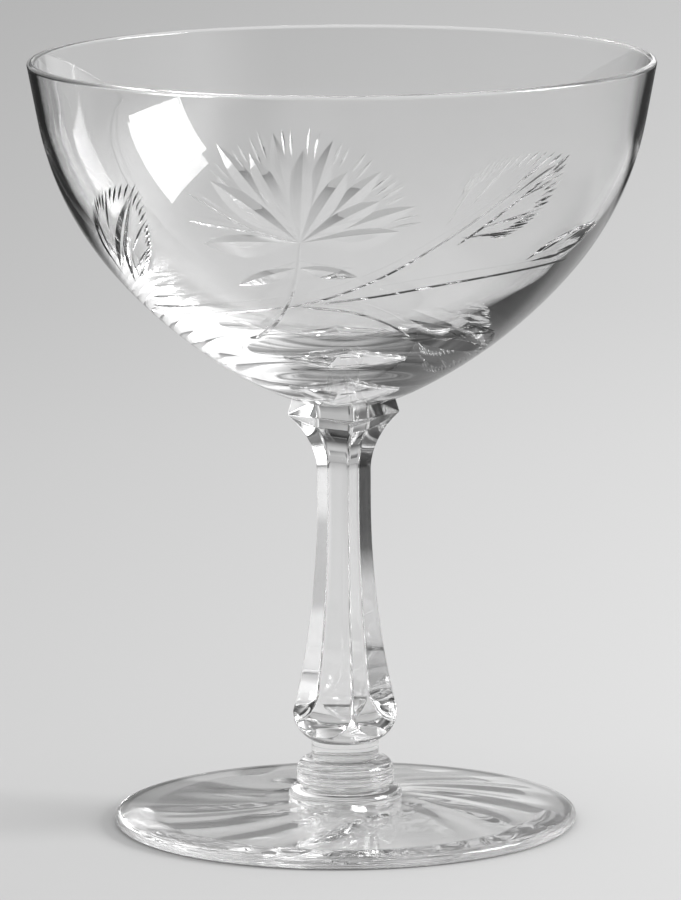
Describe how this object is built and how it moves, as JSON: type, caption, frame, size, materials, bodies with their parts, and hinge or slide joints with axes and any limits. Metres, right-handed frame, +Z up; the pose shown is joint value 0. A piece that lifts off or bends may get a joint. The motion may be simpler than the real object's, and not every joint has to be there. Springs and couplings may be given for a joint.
{
  "type": "sherbet glass",
  "caption": "Stemmed sherbet glass: wide rounded bowl with a flared lip on a square-section panelled stem, a ringed knop and a round foot.",
  "frame": {"origin": "middle of the flat ring that the foot stands on", "axes": "+Z up along the axis of the bowl, stem and foot; -Y to the front, through one corner of the stem and the decorated side of the bowl"},
  "size_m": [0.0972, 0.0972, 0.12],
  "materials": {
    "crystal": "fire-polished clear crystal"
  },
  "bodies": {
    "root": {"bowl": "crystal", "stem": "crystal", "knop": "crystal", "foot": "crystal"}
  },
  "joints": []
}
